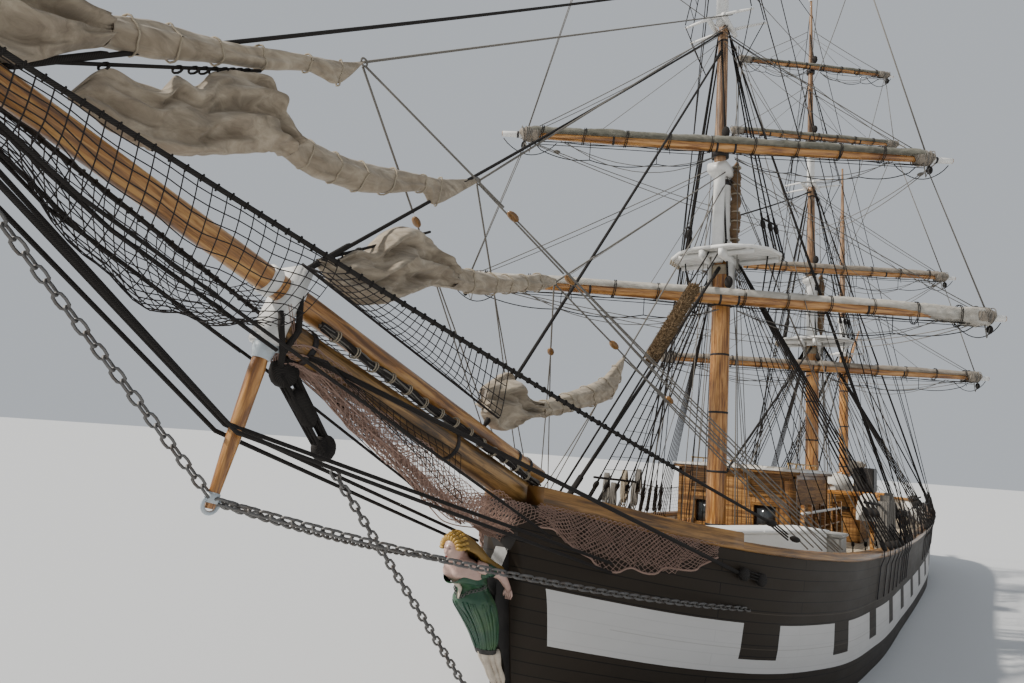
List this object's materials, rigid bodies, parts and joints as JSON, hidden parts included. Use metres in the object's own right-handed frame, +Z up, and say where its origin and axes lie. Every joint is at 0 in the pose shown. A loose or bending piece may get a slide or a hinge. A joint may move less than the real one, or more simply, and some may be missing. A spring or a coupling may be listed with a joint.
{
  "type": "three-masted barque, 1:2 scale model",
  "caption": "Square-rigged barque with sails furled on braced yards, long bowsprit, figurehead and deckhouses; yards, boom, rudder, screws and doors turn.",
  "frame": {"origin": "on the waterline, on the centreline, amidships of the deck's length", "axes": "+X forward, +Y to port, +Z up"},
  "size_m": [23.7898, 6.272, 15.225],
  "materials": {
    "black_hull": "black paint over planks with a white stripe",
    "black_wire": "tarred and served wire",
    "bronze": "dull bronze",
    "canvas": "furled sailcloth",
    "deck_wood": "scrubbed boards",
    "figure_paint": "painted carving",
    "grey_canvas": "weathered dark sailcloth",
    "iron": "black paint",
    "varnished_house": "varnished panels",
    "varnished_rail": "glossy varnish",
    "varnished_spar": "glossy golden varnish, white at the doublings",
    "white_paint": "gloss paint"
  },
  "bodies": {
    "hull": {"hull": "black_hull", "cap_rail": "varnished_rail", "bowsprit": "varnished_spar", "jibboom": "varnished_spar", "bowsprit_cap": "white_paint", "dolphin_striker": "varnished_spar", "bobstay": "black_wire", "martingale_stay": "black_wire", "martingale_backstay_port": "black_wire", "martingale_backstay_starboard": "black_wire", "fore_lower_mast": "varnished_spar", "fore_topmast": "varnished_spar", "fore_topgallant_mast": "varnished_spar", "main_lower_mast": "varnished_spar", "main_topmast": "varnished_spar", "main_topgallant_mast": "varnished_spar", "mizzen_lower_mast": "varnished_spar", "mizzen_topmast": "varnished_spar", "fore_stay": "black_wire", "fore_topmast_stay": "black_wire", "inner_jib_stay": "black_wire", "jib_stay": "black_wire", "flying_jib_stay": "black_wire", "main_stay": "black_wire", "main_topmast_stay": "black_wire", "mizzen_stay": "black_wire", "flying_jib_furled": "canvas", "outer_jib_furled": "canvas", "inner_jib_furled": "canvas", "fore_topmast_staysail_furled": "canvas", "figurehead": "figure_paint", "fore_deckhouse": "varnished_house", "aft_deckhouse": "varnished_house", "main_hatch": "deck_wood"},
    "fore_course": {"fore_course_yard": "varnished_spar", "fore_course_sail": "canvas"},
    "fore_topsail": {"fore_topsail_yard": "varnished_spar", "fore_topsail_sail": "grey_canvas"},
    "fore_topgallant": {"fore_topgallant_yard": "varnished_spar", "fore_topgallant_sail": "canvas"},
    "fore_royal": {"fore_royal_yard": "varnished_spar", "fore_royal_sail": "canvas"},
    "main_course": {"main_course_yard": "varnished_spar", "main_course_sail": "canvas"},
    "main_topsail": {"main_topsail_yard": "varnished_spar", "main_topsail_sail": "grey_canvas"},
    "main_topgallant": {"main_topgallant_yard": "varnished_spar", "main_topgallant_sail": "canvas"},
    "main_royal": {"main_royal_yard": "varnished_spar", "main_royal_sail": "canvas"},
    "rudder": {"rudder": "varnished_spar"},
    "ships_wheel": {"ships_wheel": "varnished_spar"},
    "propeller_port": {"propeller_port": "bronze"},
    "propeller_starboard": {"propeller_starboard": "bronze"},
    "spanker_gaff": {"spanker_gaff": "varnished_spar"},
    "fore_deckhouse_door": {"fore_deckhouse_door": "varnished_rail"},
    "aft_deckhouse_door": {"aft_deckhouse_door": "varnished_rail"},
    "capstan": {"capstan": "iron"},
    "spanker_boom": {"spanker_boom": "varnished_spar", "spanker_furled": "canvas"}
  },
  "joints": [
    {"name": "fore_course_brace", "type": "hinge", "parent": "hull", "child": "fore_course", "pos_m": [4.25, 0, 4.425], "axis": [0, 0, 1], "range_deg": [-75, 5]},
    {"name": "fore_topsail_brace", "type": "hinge", "parent": "hull", "child": "fore_topsail", "pos_m": [4.47, 0, 6.55], "axis": [0, 0, 1], "range_deg": [-73.5, 6.5]},
    {"name": "fore_topgallant_brace", "type": "hinge", "parent": "hull", "child": "fore_topgallant", "pos_m": [4.63, 0, 9.7], "axis": [0, 0, 1], "range_deg": [-75, 5]},
    {"name": "fore_royal_brace", "type": "hinge", "parent": "hull", "child": "fore_royal", "pos_m": [4.63, 0, 11.3], "axis": [0, 0, 1], "range_deg": [-75, 5]},
    {"name": "main_course_brace", "type": "hinge", "parent": "hull", "child": "main_course", "pos_m": [-1.85, 0, 4.3], "axis": [0, 0, 1], "range_deg": [-72, 8]},
    {"name": "main_topsail_brace", "type": "hinge", "parent": "hull", "child": "main_topsail", "pos_m": [-1.63, 0, 6.35], "axis": [0, 0, 1], "range_deg": [-73, 7]},
    {"name": "main_topgallant_brace", "type": "hinge", "parent": "hull", "child": "main_topgallant", "pos_m": [-1.47, 0, 9.25], "axis": [0, 0, 1], "range_deg": [-77, 3]},
    {"name": "main_royal_brace", "type": "hinge", "parent": "hull", "child": "main_royal", "pos_m": [-1.47, 0, 10.9], "axis": [0, 0, 1], "range_deg": [-79, 1]},
    {"name": "rudder_swing", "type": "hinge", "parent": "hull", "child": "rudder", "pos_m": [-8.275, 0, -1], "axis": [0, 0, 1], "range_deg": [-35, 35]},
    {"name": "wheel_spin", "type": "hinge", "parent": "hull", "child": "ships_wheel", "pos_m": [-7.3, 0, 1.425], "axis": [1, 0, 0], "range_deg": [-420, 420]},
    {"name": "propeller_port_spin", "type": "hinge", "parent": "hull", "child": "propeller_port", "pos_m": [-7.4, 0.75, -1.45], "axis": [1, 0, 0], "continuous": true},
    {"name": "propeller_starboard_spin", "type": "hinge", "parent": "hull", "child": "propeller_starboard", "pos_m": [-7.4, -0.75, -1.45], "axis": [1, 0, 0], "continuous": true},
    {"name": "boom_swing", "type": "hinge", "parent": "hull", "child": "spanker_boom", "pos_m": [-5.65, 0, 2.15], "axis": [0, 0, 1], "range_deg": [-45, 45]},
    {"name": "gaff_swing", "type": "hinge", "parent": "hull", "child": "spanker_gaff", "pos_m": [-5.65, 0, 4.65], "axis": [0, 0, 1], "range_deg": [-45, 45]},
    {"name": "fore_door_swing", "type": "hinge", "parent": "hull", "child": "fore_deckhouse_door", "pos_m": [1.1997, 0.575, 1.3], "axis": [0, 0, -1], "range_deg": [0, 88]},
    {"name": "aft_door_swing", "type": "hinge", "parent": "hull", "child": "aft_deckhouse_door", "pos_m": [-4.9003, -0.575, 1.3], "axis": [0, 0, 1], "range_deg": [0, 88]},
    {"name": "capstan_spin", "type": "hinge", "parent": "hull", "child": "capstan", "pos_m": [6.7, 0, 1.2], "axis": [0, 0, 1], "continuous": true}
  ],
  "couplings": [
    {"joint": "wheel_spin", "follows": "rudder_swing", "ratio": 12}
  ]
}
